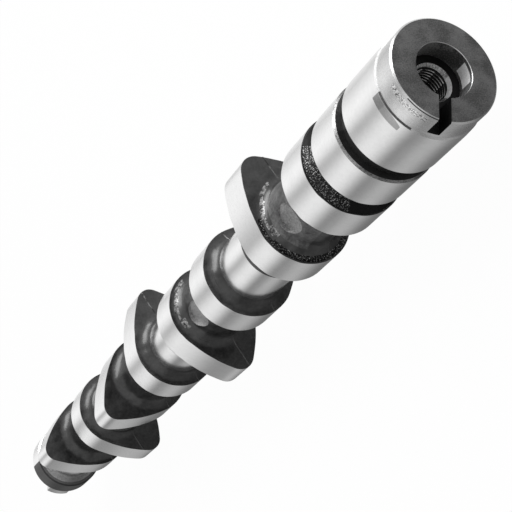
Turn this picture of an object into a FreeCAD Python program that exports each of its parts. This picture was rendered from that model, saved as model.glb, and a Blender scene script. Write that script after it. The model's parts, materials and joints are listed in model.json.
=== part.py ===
"""Camshaft for a four-cylinder engine with two valves a cylinder, cast in one piece.

The shaft's axis is X. The origin is the centre of the front face, +X runs to the rear, and +Z is up
when the shaft lies at rest on its lobes. An angle about the axis is counted from +Y towards +Z.
Sizes are in millimetres and degrees.
"""
import FreeCAD, Part
import Sketcher
import math
import os

SHEET_NAME = "Sizes"
NODE = "camshaft"

# The driving sizes. Each one is a cell of the spreadsheet, and the key is the cell's alias.
SIZES = {
    # The front end, in order from the front face to the first lobe
    "nose_radius": 17.4,
    "nose_length": 8.8,
    "nose_edge": 0.5,
    "shoulder_length": 0.5,
    "front_radius": 18.0,
    "lead_in_length": 3.5,
    "lead_in_drop": 0.15,
    "front_land_length": 18.4,
    "thrust_groove_width": 5.6,
    "thrust_groove_depth": 3.0,
    "front_bearing_length": 16.3,
    "cast_groove_width": 7.6,
    "cast_groove_depth": 3.2,
    "edge_break": 0.7,
    # The lobes along the shaft
    "lobe_width": 16.0,
    "valve_spacing": 40.0,
    "outer_cylinder_pitch": 91.5,
    "middle_cylinder_pitch": 85.2,
    # The cam outline: base circle, two flanks and a nose
    "base_radius": 18.3,
    "lift": 9.75,
    "tip_radius": 6.3,
    "flank_radius": 57.0,
    # The lobes around the shaft
    "rest_turn": 196.0,
    "lobe_separation": 108.0,
    "cylinder_two_phase": 90.0,
    "cylinder_three_phase": 270.0,
    "cylinder_four_phase": 180.0,
    # The shaft between the lobes
    "waist_radius": 13.0,
    "waist_round_length": 5.6,
    "bearing_radius": 13.5,
    "bearing_relief": 0.5,
    "bearing_margin": 5.0,
    "neck_cone_length": 2.6,
    "lobe_face_margin": 0.6,
    # The rear end
    "rear_bearing_length": 28.0,
    "flange_radius": 17.3,
    "flange_length": 13.0,
    "tongue_width": 11.0,
    "tongue_height": 8.0,
    "tongue_inset": 0.8,
    "tongue_turn": 180.0,
    "rear_centre_radius": 3.2,
    "rear_centre_pilot_radius": 1.6,
    "rear_centre_pilot_length": 3.0,
    # The hole in the nose
    "counterbore_radius": 9.1,
    "counterbore_depth": 7.2,
    "front_centre_radius": 6.5,
    "tapping_radius": 5.325,
    "tapping_depth": 32.0,
    # The drive slot across the nose's rim
    "slot_width": 4.0,
    "slot_depth": 7.3,
    "slot_turn": 180.0,
    "slot_overlap": 1.5,
    # The spot-faced pads on the waists
    "pad_radius": 5.7,
    "pad_height": 11.5,
    "pad_turn": 228.0,
    "pad_offset": 1.8,
}

CENTRE_HALF_ANGLE = math.radians(30)   # a 60 degree lathe centre
DRILL_HALF_ANGLE = math.radians(59)    # a 118 degree drill point


class Size:
    """A length or angle as a number, with the spreadsheet expression that gives it."""

    def __init__(self, number, text):
        self.number = number
        self.text = text

    @staticmethod
    def of(other):
        """Return other as a Size. A plain number stands for itself."""
        if isinstance(other, Size):
            return other
        return Size(float(other), repr(float(other)))

    def __add__(self, other):
        other = Size.of(other)
        return Size(self.number + other.number, f"({self.text} + {other.text})")

    def __sub__(self, other):
        other = Size.of(other)
        return Size(self.number - other.number, f"({self.text} - {other.text})")

    def __mul__(self, other):
        other = Size.of(other)
        return Size(self.number * other.number, f"{self.text} * {other.text}")


class Outline:
    """A closed outline in a sketch. Every corner and radius is bound to a size.

    The outline starts at the corner (u, v), and line and fillet carry it on to the next corner.
    """

    def __init__(self, sketch, u, v):
        self.sketch = sketch
        self.start = (Size.of(u), Size.of(v))
        self.here = self.start
        self.pieces = []

    def bind(self, constraint, size):
        """Add a dimension and bind it to the size's expression."""
        index = self.sketch.addConstraint(constraint)
        self.sketch.setExpression(f"Constraints[{index}]", size.text)

    def pin(self, piece, end, u, v):
        """Hold one end of a piece at the corner (u, v)."""
        for kind, size, axis in (("DistanceX", u, -2), ("DistanceY", v, -1)):
            if size.text == "0.0":
                self.sketch.addConstraint(Sketcher.Constraint("PointOnObject", piece, end, axis))
            else:
                self.bind(Sketcher.Constraint(kind, -1, 1, piece, end, size.number), size)

    def line(self, u, v):
        """Draw a straight run from the last corner to (u, v)."""
        u, v = Size.of(u), Size.of(v)
        first = FreeCAD.Vector(self.here[0].number, self.here[1].number, 0)
        last = FreeCAD.Vector(u.number, v.number, 0)
        piece = self.sketch.addGeometry(Part.LineSegment(first, last), False)
        self.pin(piece, 2, u, v)
        self.join((piece, 1, 2), u, v)

    def hollow(self, u, v, corner_u, corner_v):
        """Draw a hollow quarter ellipse from the last corner to (u, v).

        It is centred on the given corner, so it meets the face square on and the waist smoothly.
        """
        u, v = Size.of(u), Size.of(v)
        begin = FreeCAD.Vector(self.here[0].number, self.here[1].number, 0)
        end = FreeCAD.Vector(u.number, v.number, 0)
        centre = FreeCAD.Vector(corner_u.number, corner_v.number, 0)
        first, last = (begin, end) if (begin - centre).cross(end - centre).z > 0 else (end, begin)
        spans = (first - centre).Length, (last - centre).Length
        longer, shorter = (first, last) if spans[0] > spans[1] else (last, first)
        ellipse = Part.Ellipse(longer, shorter, centre)
        if ellipse.Axis.z < 0:
            ellipse = Part.Ellipse(longer, centre * 2 - shorter, centre)
        low, high = ellipse.parameter(first), ellipse.parameter(last)
        if high < low:
            high += 2 * math.pi
        piece = self.sketch.addGeometry(Part.ArcOfEllipse(ellipse, low, high), False)
        starts, ends = (1, 2) if first == begin else (2, 1)
        self.pin(piece, ends, u, v)
        self.pin(piece, 3, corner_u, corner_v)
        self.sketch.exposeInternalGeometry(piece)
        level = abs(longer.y - centre.y) < abs(longer.x - centre.x)
        self.sketch.addConstraint(
            Sketcher.Constraint("Horizontal" if level else "Vertical", piece + 1))
        self.join((piece, starts, ends), u, v)

    def join(self, piece, u, v):
        """Join a new piece to the one before it and move on to its far corner."""
        if self.pieces:
            before, after = self.pieces[-1], piece
            self.sketch.addConstraint(
                Sketcher.Constraint("Coincident", before[0], before[2], after[0], after[1]))
        self.pieces.append(piece)
        self.here = (u, v)

    def close(self):
        """Draw the last straight run, back to the first corner."""
        first = FreeCAD.Vector(self.here[0].number, self.here[1].number, 0)
        last = FreeCAD.Vector(self.start[0].number, self.start[1].number, 0)
        piece = self.sketch.addGeometry(Part.LineSegment(first, last), False)
        self.pin(piece, 2, *self.start)
        self.join((piece, 1, 2), *self.start)
        before, after = self.pieces[-1], self.pieces[0]
        self.sketch.addConstraint(
            Sketcher.Constraint("Coincident", before[0], before[2], after[0], after[1]))


def fill_sheet(doc):
    """Write the driving sizes into a spreadsheet and return it."""
    sheet = doc.addObject("Spreadsheet::Sheet", SHEET_NAME)
    for row, (alias, number) in enumerate(SIZES.items(), start=1):
        sheet.set(f"A{row}", alias.replace("_", " "))
        sheet.set(f"B{row}", str(number))
        sheet.setAlias(f"B{row}", alias)
    doc.recompute()
    return sheet


def size(alias):
    """Return a cell of the spreadsheet as a Size."""
    return Size(SIZES[alias], f"{SHEET_NAME}.{alias}")


def new_sketch(body, name, role):
    """Return an empty sketch on the body's own origin plane with the given role."""
    sketch = body.newObject("Sketcher::SketchObject", name)
    plane = [item for item in body.Origin.OriginFeatures if item.Role == role][0]
    sketch.AttachmentSupport = (plane, [""])
    sketch.MapMode = "FlatFace"
    return sketch


def cross_sketch(body, name, station, turn):
    """Return a sketch square to the shaft at a station, with its first axis turned by an angle."""
    sketch = new_sketch(body, name, "YZ_Plane")
    turned = FreeCAD.Rotation(FreeCAD.Vector(0, 0, 1), turn.number)
    sketch.AttachmentOffset = FreeCAD.Placement(FreeCAD.Vector(0, 0, station.number), turned)
    sketch.setExpression("AttachmentOffset.Base.z", station.text)
    sketch.setExpression("AttachmentOffset.Rotation.Angle", turn.text)
    return sketch


def check_step(doc, feature, grows):
    """Recompute, and stop if the feature failed or didn't change the solid the right way."""
    doc.recompute()
    if "Invalid" in feature.State or "Error" in feature.State:
        raise RuntimeError(f"{feature.Label} failed: {feature.State}")
    base = feature.BaseFeature
    if base is not None and (feature.Shape.Volume > base.Shape.Volume) != grows:
        raise RuntimeError(f"{feature.Label} changed the solid the wrong way")
    print(f"{feature.Label}: volume {feature.Shape.Volume:.0f} cubic mm")


def land_start():
    """Return where the front land starts, behind the nose, its shoulder and the lead-in."""
    return size("nose_length") + size("shoulder_length") + size("lead_in_length")


def lobe_starts():
    """Return where each of the eight lobes starts along the shaft, from front to rear."""
    first = land_start() + size("front_land_length")
    first = first + size("thrust_groove_width") + size("front_bearing_length")
    first = first + size("cast_groove_width")
    starts = []
    for pitch in (0.0, size("outer_cylinder_pitch"), size("middle_cylinder_pitch"),
                  size("outer_cylinder_pitch")):
        first = first + pitch if starts else first
        starts += [first, first + size("valve_spacing")]
    return starts


def lobe_turns():
    """Return the angle of each lobe's tip about the shaft.

    The two lobes of a cylinder stand half the lobe separation to each side of its phase. The order
    exhaust, inlet turns round from one cylinder to the next, so that like valves lie side by side.
    """
    half = size("lobe_separation") * 0.5
    turns = []
    phases = (0.0, size("cylinder_two_phase"), size("cylinder_three_phase"),
              size("cylinder_four_phase"))
    for number, phase in enumerate(phases):
        middle = size("rest_turn") + phase
        pair = [middle + half, middle - half]
        turns += pair if number % 2 == 0 else pair[::-1]
    return turns


def rear_stations():
    """Return where the rear bearing, the flange and the flange's rear face stand."""
    bearing = lobe_starts()[-1] + size("lobe_width") + size("bearing_margin")
    flange = bearing + size("rear_bearing_length")
    return bearing, flange, flange + size("flange_length")


def waist(outline, start, end, core):
    """Run the outline along a waist whose ends are rounded up into the lobes' faces."""
    low, reach = size("waist_radius"), size("waist_round_length")
    outline.hollow(start + reach, low, start + reach, core)
    outline.line(end - reach, low)
    outline.hollow(end, core, end - reach, core)


def bearing_neck(outline, start, end, core):
    """Run the outline along a ground bearing that stands proud of a cast neck on both sides."""
    relief, cone = size("bearing_relief"), size("neck_cone_length")
    high = size("bearing_radius")
    low = high - relief
    near, far = start + size("bearing_margin"), end - size("bearing_margin")
    outline.line(start + cone, low)
    outline.line(near - relief, low)
    outline.line(near, high)
    outline.line(far, high)
    outline.line(far + relief, low)
    outline.line(end - cone, low)
    outline.line(end, core)


def turn_blank(doc, body):
    """Turn the shaft without its lobes: nose, land, grooves, bearings, waists and flange."""
    sketch = new_sketch(body, "blank_outline", "XZ_Plane")
    edge = size("edge_break")
    nose, front = size("nose_radius"), size("front_radius")
    core = size("base_radius") - size("lobe_face_margin")
    starts = lobe_starts()
    width = size("lobe_width")

    outline = Outline(sketch, 0, 0)
    outline.line(0, nose - size("nose_edge"))
    outline.line(size("nose_edge"), nose)
    outline.line(size("nose_length"), nose)
    outline.line(size("nose_length") + size("shoulder_length"), front - size("lead_in_drop"))
    outline.line(land_start(), front)
    land_end = land_start() + size("front_land_length")
    outline.line(land_end - edge, front)
    outline.line(land_end, front - edge)

    thrust_floor = front - size("thrust_groove_depth")
    bearing_start = land_end + size("thrust_groove_width")
    bearing_end = bearing_start + size("front_bearing_length")
    outline.line(land_end, thrust_floor)
    outline.line(bearing_start, thrust_floor)
    outline.line(bearing_start, front - edge)
    outline.line(bearing_start + edge, front)
    outline.line(bearing_end, front)

    cast_floor = front - size("cast_groove_depth")
    cone = size("neck_cone_length")
    outline.line(bearing_end, cast_floor)
    outline.line(starts[0] - cone, cast_floor)
    outline.line(starts[0], core)

    for number in range(len(starts) - 1):
        lobe_end, next_start = starts[number] + width, starts[number + 1]
        outline.line(lobe_end, core)
        if number % 2 == 0:
            waist(outline, lobe_end, next_start, core)
        else:
            bearing_neck(outline, lobe_end, next_start, core)

    lobe_end = starts[-1] + width
    bearing, flange, rear = rear_stations()
    relief = size("bearing_relief")
    high = size("bearing_radius")
    low = high - relief
    outline.line(lobe_end, core)
    outline.line(lobe_end + cone, low)
    outline.line(bearing - relief, low)
    outline.line(bearing, high)
    outline.line(flange, high)
    rim = size("flange_radius")
    outline.line(flange, rim - edge)
    outline.line(flange + edge, rim)
    outline.line(rear - edge, rim)
    outline.line(rear, rim - edge)
    outline.line(rear, 0)
    outline.close()

    blank = body.newObject("PartDesign::Revolution", "turned_blank")
    blank.Profile = sketch
    blank.ReferenceAxis = (sketch, ["H_Axis"])
    blank.Angle = 360
    check_step(doc, blank, True)


def cam_outline(sketch):
    """Draw a cam: a base circle, a tip on the first axis, and two flanks tangent to both."""
    base, lift = size("base_radius"), size("lift")
    tip, flank = size("tip_radius"), size("flank_radius")
    tip_place = base + lift - tip
    to_base = flank.number - base.number
    to_tip = flank.number - tip.number
    place = tip_place.number
    flank_u = (to_base ** 2 - to_tip ** 2 + place ** 2) / (2 * place)
    flank_v = math.sqrt(to_base ** 2 - flank_u ** 2)
    base_angle = math.atan2(flank_v, -flank_u)
    tip_angle = math.atan2(flank_v, place - flank_u)

    def arc(u, v, radius, low, high):
        middle = FreeCAD.Vector(u, v, 0)
        circle = Part.Circle(middle, FreeCAD.Vector(0, 0, 1), radius.number)
        number = sketch.addGeometry(Part.ArcOfCircle(circle, low, high), False)
        index = sketch.addConstraint(Sketcher.Constraint("Radius", number, radius.number))
        sketch.setExpression(f"Constraints[{index}]", radius.text)
        return number

    back = arc(0, 0, base, base_angle, 2 * math.pi - base_angle)
    upper = arc(flank_u, -flank_v, flank, tip_angle, base_angle)
    lower = arc(flank_u, flank_v, flank, -base_angle, -tip_angle)
    front = arc(place, 0, tip, -tip_angle, tip_angle)
    sketch.addConstraint(Sketcher.Constraint("Coincident", back, 3, -1, 1))
    sketch.addConstraint(Sketcher.Constraint("PointOnObject", front, 3, -1))
    index = sketch.addConstraint(Sketcher.Constraint("DistanceX", -1, 1, front, 3, place))
    sketch.setExpression(f"Constraints[{index}]", tip_place.text)
    for first, first_end, second, second_end in ((front, 2, upper, 1), (upper, 2, back, 1),
                                                 (back, 2, lower, 1), (lower, 2, front, 1)):
        sketch.addConstraint(
            Sketcher.Constraint("Tangent", first, first_end, second, second_end))


def add_lobes(doc, body):
    """Stand the eight cam lobes on the blank."""
    for number, (start, turn) in enumerate(zip(lobe_starts(), lobe_turns()), start=1):
        sketch = cross_sketch(body, f"lobe_{number}_outline", start, turn)
        cam_outline(sketch)
        lobe = body.newObject("PartDesign::Pad", f"lobe_{number}")
        lobe.Profile = sketch
        lobe.Type = "Length"
        lobe.Length = SIZES["lobe_width"]
        lobe.setExpression("Length", size("lobe_width").text)
        check_step(doc, lobe, True)


def spot_face_pads(doc, body):
    """Mill a round flat on each of the first two waists, both facing the same way."""
    starts = lobe_starts()
    turn = size("rest_turn") + size("pad_turn")
    for number, start in enumerate((starts[0], starts[2]), start=1):
        middle = start + (size("valve_spacing") + size("lobe_width")) * 0.5 + size("pad_offset")
        sketch = new_sketch(body, f"pad_{number}_outline", "XY_Plane")
        sketch.AttachmentOffset = FreeCAD.Placement(
            FreeCAD.Vector(0, 0, 0), FreeCAD.Rotation(FreeCAD.Vector(1, 0, 0), turn.number - 90))
        height = size("pad_height")
        sketch.setExpression("AttachmentOffset.Base.y", f"{height.text} * cos({turn.text} * 1 deg)")
        sketch.setExpression("AttachmentOffset.Base.z", f"{height.text} * sin({turn.text} * 1 deg)")
        sketch.setExpression("AttachmentOffset.Rotation.Angle", f"{turn.text} - 90")
        radius = size("pad_radius")
        circle = Part.Circle(FreeCAD.Vector(middle.number, 0, 0), FreeCAD.Vector(0, 0, 1), radius.number)
        rim = sketch.addGeometry(circle, False)
        sketch.addConstraint(Sketcher.Constraint("PointOnObject", rim, 3, -1))
        index = sketch.addConstraint(Sketcher.Constraint("DistanceX", -1, 1, rim, 3, middle.number))
        sketch.setExpression(f"Constraints[{index}]", middle.text)
        index = sketch.addConstraint(Sketcher.Constraint("Radius", rim, radius.number))
        sketch.setExpression(f"Constraints[{index}]", radius.text)
        pad = body.newObject("PartDesign::Pocket", f"pad_{number}")
        pad.Profile = sketch
        pad.Type = "ThroughAll"
        pad.Reversed = True
        check_step(doc, pad, False)


def bore_nose(doc, body):
    """Bore the nose: counterbore, 60 degree centre, tapping-size hole and drill point."""
    sketch = new_sketch(body, "nose_hole_outline", "XZ_Plane")
    wide, deep = size("counterbore_radius"), size("counterbore_depth")
    centre, tapping = size("front_centre_radius"), size("tapping_radius")
    cone = (centre - tapping) * (1 / math.tan(CENTRE_HALF_ANGLE))
    point = tapping * (1 / math.tan(DRILL_HALF_ANGLE))
    outline = Outline(sketch, 0, 0)
    outline.line(0, wide)
    outline.line(deep, wide)
    outline.line(deep, centre)
    outline.line(deep + cone, tapping)
    outline.line(size("tapping_depth"), tapping)
    outline.line(size("tapping_depth") + point, 0)
    outline.close()
    hole = body.newObject("PartDesign::Groove", "nose_hole")
    hole.Profile = sketch
    hole.ReferenceAxis = (sketch, ["H_Axis"])
    hole.Angle = 360
    check_step(doc, hole, False)


def cut_drive_slot(doc, body):
    """Mill the slot that runs from the counterbore out through the nose's rim."""
    sketch = cross_sketch(body, "slot_outline", Size.of(0), size("rest_turn") + size("slot_turn"))
    half = size("slot_width") * 0.5
    inner = size("counterbore_radius") - size("slot_overlap")
    outer = size("front_radius") + size("slot_overlap")
    outline = Outline(sketch, inner, half * -1)
    outline.line(outer, half * -1)
    outline.line(outer, half)
    outline.line(inner, half)
    outline.close()
    slot = body.newObject("PartDesign::Pocket", "drive_slot")
    slot.Profile = sketch
    slot.Type = "Length"
    slot.Length = SIZES["slot_depth"]
    slot.setExpression("Length", size("slot_depth").text)
    slot.Reversed = True
    check_step(doc, slot, False)


def add_tongue(doc, body):
    """Stand the drive tongue across the rear face, with its ends round like the flange."""
    rear = rear_stations()[-1]
    sketch = cross_sketch(body, "tongue_outline", rear, size("rest_turn") + size("tongue_turn"))
    radius = size("flange_radius") - size("tongue_inset")
    half = size("tongue_width") * 0.5
    reach = math.sqrt(radius.number ** 2 - half.number ** 2)
    spread = math.asin(half.number / radius.number)
    circle = Part.Circle(FreeCAD.Vector(0, 0, 0), FreeCAD.Vector(0, 0, 1), radius.number)
    right = sketch.addGeometry(Part.ArcOfCircle(circle, -spread, spread), False)
    left = sketch.addGeometry(Part.ArcOfCircle(circle, math.pi - spread, math.pi + spread), False)
    corners = [FreeCAD.Vector(u, v, 0) for u, v in ((reach, half.number), (-reach, half.number),
                                                    (-reach, -half.number), (reach, -half.number))]
    top = sketch.addGeometry(Part.LineSegment(corners[0], corners[1]), False)
    bottom = sketch.addGeometry(Part.LineSegment(corners[2], corners[3]), False)
    for first, first_end, second, second_end in ((right, 2, top, 1), (top, 2, left, 1),
                                                 (left, 2, bottom, 1), (bottom, 2, right, 1)):
        sketch.addConstraint(
            Sketcher.Constraint("Coincident", first, first_end, second, second_end))
    for arc in (right, left):
        sketch.addConstraint(Sketcher.Constraint("Coincident", arc, 3, -1, 1))
        index = sketch.addConstraint(Sketcher.Constraint("Radius", arc, radius.number))
        sketch.setExpression(f"Constraints[{index}]", radius.text)
    for side in (top, bottom):
        sketch.addConstraint(Sketcher.Constraint("Horizontal", side))
    index = sketch.addConstraint(Sketcher.Constraint("DistanceY", -1, 1, top, 1, half.number))
    sketch.setExpression(f"Constraints[{index}]", half.text)
    index = sketch.addConstraint(Sketcher.Constraint("DistanceY", bottom, 1, -1, 1, half.number))
    sketch.setExpression(f"Constraints[{index}]", half.text)
    tongue = body.newObject("PartDesign::Pad", "drive_tongue")
    tongue.Profile = sketch
    tongue.Type = "Length"
    tongue.Length = SIZES["tongue_height"]
    tongue.setExpression("Length", size("tongue_height").text)
    check_step(doc, tongue, True)


def drill_rear_centre(doc, body):
    """Drill the 60 degree centre that the shaft is ground on, into the tongue's end."""
    sketch = new_sketch(body, "rear_centre_outline", "XZ_Plane")
    end = rear_stations()[-1] + size("tongue_height")
    wide, pilot = size("rear_centre_radius"), size("rear_centre_pilot_radius")
    cone = (wide - pilot) * (1 / math.tan(CENTRE_HALF_ANGLE))
    point = pilot * (1 / math.tan(DRILL_HALF_ANGLE))
    floor = end - cone - size("rear_centre_pilot_length")
    outline = Outline(sketch, end, 0)
    outline.line(end, wide)
    outline.line(end - cone, pilot)
    outline.line(floor, pilot)
    outline.line(floor - point, 0)
    outline.close()
    centre = body.newObject("PartDesign::Groove", "rear_centre")
    centre.Profile = sketch
    centre.ReferenceAxis = (sketch, ["H_Axis"])
    centre.Angle = 360
    check_step(doc, centre, False)


def check_document(doc, body):
    """Stop if any object failed, or the finished shape isn't one sound solid."""
    for item in doc.Objects:
        if "Invalid" in item.State or "Error" in item.State:
            raise RuntimeError(f"{item.Label} is in state {item.State}")
    shape = body.Shape
    if shape.isNull() or not shape.isValid() or len(shape.Solids) != 1:
        raise RuntimeError(f"{body.Label} is not one sound solid")


def main():
    """Build the camshaft and write its STEP file."""
    doc = FreeCAD.newDocument("camshaft_model")
    fill_sheet(doc)
    body = doc.addObject("PartDesign::Body", NODE)
    body.Label = NODE
    body.Placement = FreeCAD.Placement()
    turn_blank(doc, body)
    add_lobes(doc, body)
    spot_face_pads(doc, body)
    bore_nose(doc, body)
    cut_drive_slot(doc, body)
    add_tongue(doc, body)
    drill_rear_centre(doc, body)
    doc.recompute()
    check_document(doc, body)
    os.makedirs("parts", exist_ok=True)
    body.Shape.exportStep(os.path.join("parts", f"{NODE}.step"))
    box = body.Shape.BoundBox
    print(f"{NODE}: {box.XLength:.1f} x {box.YLength:.1f} x {box.ZLength:.1f} mm")


main()
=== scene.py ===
"""Looks of a four-cylinder camshaft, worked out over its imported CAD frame.

The shaft is one closed skin. Rings of points are carried along the shaft's profile, from the end of
the bolt hole out over the front face and back along the outside to the rear centre. All rings have
their points at the same columns about the axis, so a lobe, the drive slot and the tongue are
changes of a ring's radius. Each milled pad is a round patch let into a waist. Lengths are in
millimetres until the mesh is filled. The axis is X, and an angle is counted from +Y towards +Z.
"""

import json
import logging
import math
from dataclasses import dataclass, field
from enum import Enum

import bmesh
import bpy
import numpy as np
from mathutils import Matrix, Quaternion, Vector

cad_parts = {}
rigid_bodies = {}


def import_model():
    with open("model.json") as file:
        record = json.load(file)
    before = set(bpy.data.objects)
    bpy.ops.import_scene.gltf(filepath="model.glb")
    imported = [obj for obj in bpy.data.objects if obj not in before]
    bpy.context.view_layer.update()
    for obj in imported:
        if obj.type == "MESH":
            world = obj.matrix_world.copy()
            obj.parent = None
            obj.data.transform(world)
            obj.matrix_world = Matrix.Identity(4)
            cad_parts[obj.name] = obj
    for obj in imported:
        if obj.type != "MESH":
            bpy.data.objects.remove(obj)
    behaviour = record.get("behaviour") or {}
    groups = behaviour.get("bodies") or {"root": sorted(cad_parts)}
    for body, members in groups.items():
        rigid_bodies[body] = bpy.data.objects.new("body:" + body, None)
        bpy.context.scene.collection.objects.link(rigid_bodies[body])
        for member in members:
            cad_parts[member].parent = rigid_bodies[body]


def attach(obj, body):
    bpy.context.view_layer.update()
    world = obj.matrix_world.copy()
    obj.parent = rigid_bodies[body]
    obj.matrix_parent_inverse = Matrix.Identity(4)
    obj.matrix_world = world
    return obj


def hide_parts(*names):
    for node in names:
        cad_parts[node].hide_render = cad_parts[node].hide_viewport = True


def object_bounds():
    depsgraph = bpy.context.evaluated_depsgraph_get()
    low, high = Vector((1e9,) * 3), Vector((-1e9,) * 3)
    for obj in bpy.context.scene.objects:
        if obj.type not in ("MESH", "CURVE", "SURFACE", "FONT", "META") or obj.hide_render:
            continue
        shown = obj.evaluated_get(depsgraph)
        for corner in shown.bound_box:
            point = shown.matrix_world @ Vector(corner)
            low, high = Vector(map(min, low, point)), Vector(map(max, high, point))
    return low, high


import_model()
CAD_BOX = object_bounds()

LOG = logging.getLogger("camshaft")
MM = 0.001
NODE = "camshaft"
BODY = "root"
WHITE = "#FFFFFF"
CLOSE = 1e-6
WELD = 1e-6
NO_SIZE = 1e-7
Lengths = float | np.ndarray


class Band(Enum):
    """The surfaces of the shaft, in the order of the mesh's material slots."""

    DRILLED = 0
    CREST = 1
    CENTRE = 2
    BORE_WALL = 3
    END_FACE = 4
    TURNED = 5
    PITTED = 6
    GROUND = 7
    GROOVE = 8
    CHAMFER = 9
    CAST = 10
    PARTING = 11
    SANDY = 12
    ROUGH_CAST = 13
    MILLED = 14
    RUN_OUT = 15
    RUN_OUT_PALE = 16
    WORN_CAST = 17
    BORE_LIT = 18
    GROOVE_DARK = 19
    GROOVE_HALF = 20


@dataclass(frozen=True)
class Arc:
    """A stretch about the shaft, in degrees, where a surface has another finish."""

    low: float
    high: float
    band: Band


# Sizes in millimetres and degrees. Those of the shapes are the same as in the part's source.


@dataclass(frozen=True)
class FrontSizes:
    """The front end, from its face to the first lobe, with the hole and the slot in it."""

    nose_radius: float = 17.4
    nose_edge: float = 0.5
    pitted_end: float = 3.6
    nose_end: float = 8.8
    shoulder_end: float = 9.3
    lead_in_drop: float = 0.15
    land_start: float = 12.8
    land_end: float = 31.2
    radius: float = 18.0
    thrust_floor: float = 15.0
    bearing_start: float = 36.8
    bearing_end: float = 53.1
    cast_floor: float = 14.8
    edge: float = 0.7
    hole_end: float = 32.0
    hole_point: float = 35.2
    tapping_radius: float = 5.325
    thread_root: float = 6.05
    thread_pitch: float = 1.25
    thread_turns: int = 9
    thread_rings: int = 8
    thread_crest: float = 0.25
    centre_radius: float = 6.5
    centre_slope: float = 30.0
    counterbore_radius: float = 9.1
    counterbore_floor: float = 7.2
    rim: float = 0.12
    slot_half: float = 2.0
    slot_inner: float = 7.6
    slot_floor: float = 7.3


@dataclass(frozen=True)
class FrontArcs:
    """The arcs of the front end that are paler, duller or rougher than the rest of their ring.
    Apart from the pits, they are painted highlight or painted shade on one side of the shaft, and
    the groove keeps its own grey only on its lit side.
    """

    cone_highlight_painted: Arc = Arc(252.0, 322.0, Band.BORE_LIT)
    bore_lit: Arc = Arc(250.0, 290.0, Band.BORE_LIT)
    edge_shade_painted: Arc = Arc(8.0, 58.0, Band.CAST)
    pitted: Arc = Arc(30.0, 78.0, Band.PITTED)
    shoulder_shade_painted: Arc = Arc(36.0, 83.0, Band.END_FACE)
    shoulder_highlight_painted: Arc = Arc(83.0, 150.0, Band.BORE_LIT)
    run_out: Arc = Arc(68.0, 83.0, Band.RUN_OUT)
    run_out_pale: Arc = Arc(44.0, 68.0, Band.RUN_OUT_PALE)
    groove: Arc = Arc(112.0, 170.0, Band.GROOVE)
    groove_half: Arc = Arc(90.0, 112.0, Band.GROOVE_HALF)
    cast_upper_shade_painted: Arc = Arc(112.0, 160.0, Band.DRILLED)
    cast_under_shade_painted: Arc = Arc(-90.0, 20.0, Band.DRILLED)


@dataclass(frozen=True)
class RunOutSizes:
    """The crescent on the lead-in, between the shoulder and the land."""

    near: float = 0.1
    far: float = 0.2
    thin_turn: float = 62.0
    thin_over: float = 18.0
    thin_by: float = 1.5


@dataclass(frozen=True)
class LobeSizes:
    """The eight lobes: their outline, their places along the shaft and the angles of their tips."""

    base: float = 18.3
    lift: float = 9.75
    tip: float = 6.3
    flank: float = 57.0
    width: float = 16.0
    edge: float = 0.12
    starts: tuple[float, ...] = (60.7, 100.7, 152.2, 192.2, 237.4, 277.4, 328.9, 368.9)
    turns: tuple[float, ...] = (250.0, 142.0, 232.0, 340.0, 160.0, 52.0, 322.0, 70.0)


@dataclass(frozen=True)
class StemSizes:
    """The shaft between the lobes: cast waists, and ground bearings between cast necks."""

    core: float = 17.7
    waist: float = 13.0
    round_length: float = 5.6
    bearing: float = 13.5
    relief: float = 0.5
    margin: float = 5.0
    unground: float = 9.3
    cone: float = 2.6


@dataclass(frozen=True)
class PadSizes:
    """The round flats milled on the first two waists."""

    radius: float = 5.7
    height: float = 11.5
    turn: float = 64.0
    offset: float = 1.8
    waists: int = 2
    margin: float = 0.9
    reach: float = 33.0


@dataclass(frozen=True)
class RearSizes:
    """The rear end: the flange, the drive tongue and the centre in the tongue's end."""

    bearing_start: float = 389.9
    flange_start: float = 417.9
    face: float = 430.9
    end: float = 438.9
    radius: float = 17.3
    edge: float = 0.7
    tongue_half: float = 5.5
    tongue_radius: float = 16.5
    centre_radius: float = 3.2
    pilot_radius: float = 1.6
    centre_depth: float = 2.77
    pilot_depth: float = 5.77
    point_depth: float = 6.73


FRONT = FrontSizes()
ARCS = FrontArcs()
LOBE = LobeSizes()
STEM = StemSizes()
PAD = PadSizes()
REAR = RearSizes()


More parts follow.
